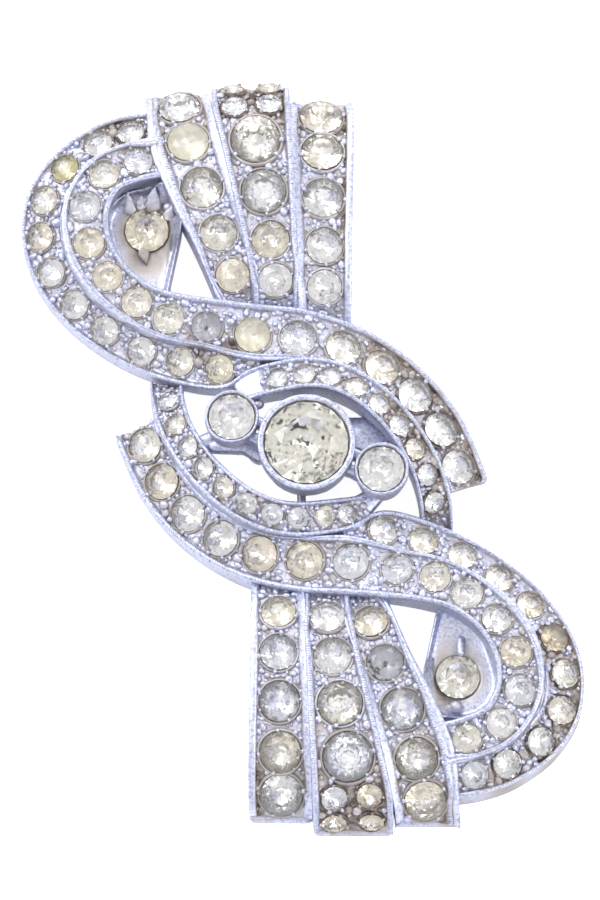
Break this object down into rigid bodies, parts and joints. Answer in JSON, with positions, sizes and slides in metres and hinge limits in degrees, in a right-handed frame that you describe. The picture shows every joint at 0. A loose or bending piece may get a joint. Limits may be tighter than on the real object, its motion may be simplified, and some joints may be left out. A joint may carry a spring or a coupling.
{
  "type": "rhinestone brooch",
  "caption": "S-scroll brooch of cast white metal with two opposed fans, pave-set with round foiled glass stones round a bezel-set centre stone.",
  "frame": {"origin": "centre of the brooch's footprint, on the plane that its back rims rest on", "axes": "+Z out of the front of the brooch; +Y along its length, towards the fan at the picture's top; +X to the picture's right"},
  "size_m": [0.0564, 0.077, 0.0097],
  "materials": {
    "plated_casting": "cast white metal with a worn plated surface, milgrain edges and brown tarnish in the hollows",
    "pin_steel": "drawn wire and plate, dulled",
    "clear_glass": "cut and polished, foiled back",
    "champagne_glass": "cut and polished, foiled back, pale champagne",
    "golden_glass": "cut and polished, yellowed foil"
  },
  "bodies": {
    "root": {"casting": "plated_casting", "pin_back": "pin_steel", "centre_stone": "champagne_glass", "flank_stone_left": "clear_glass", "flank_stone_right": "clear_glass", "pear_stone_upper": "golden_glass", "pear_stone_lower": "golden_glass", "inner_row_upper": "clear_glass", "inner_row_lower": "clear_glass", "outer_row_upper": "clear_glass", "outer_row_lower": "clear_glass", "crescent_row_upper": "clear_glass", "crescent_row_lower": "clear_glass", "fan_end_stones_upper": "clear_glass", "fan_end_stones_lower": "clear_glass", "fan_upper_left_1": "clear_glass", "fan_upper_left_2": "clear_glass", "fan_upper_left_3": "clear_glass", "fan_upper_left_4": "clear_glass", "fan_upper_left_5": "clear_glass", "fan_lower_left_1": "clear_glass", "fan_lower_left_2": "clear_glass", "fan_lower_left_3": "clear_glass", "fan_lower_left_4": "clear_glass", "fan_lower_left_5": "clear_glass", "fan_upper_middle_1": "clear_glass", "fan_upper_middle_2": "clear_glass", "fan_upper_middle_3": "clear_glass", "fan_upper_middle_4": "clear_glass", "fan_lower_middle_1": "clear_glass", "fan_lower_middle_2": "clear_glass", "fan_lower_middle_3": "clear_glass", "fan_lower_middle_4": "clear_glass", "fan_upper_right_1": "clear_glass", "fan_upper_right_2": "clear_glass", "fan_upper_right_3": "clear_glass", "fan_upper_right_4": "clear_glass", "fan_upper_right_5": "clear_glass", "fan_lower_right_1": "clear_glass", "fan_lower_right_2": "clear_glass", "fan_lower_right_3": "clear_glass", "fan_lower_right_4": "clear_glass", "fan_lower_right_5": "clear_glass"}
  },
  "joints": []
}
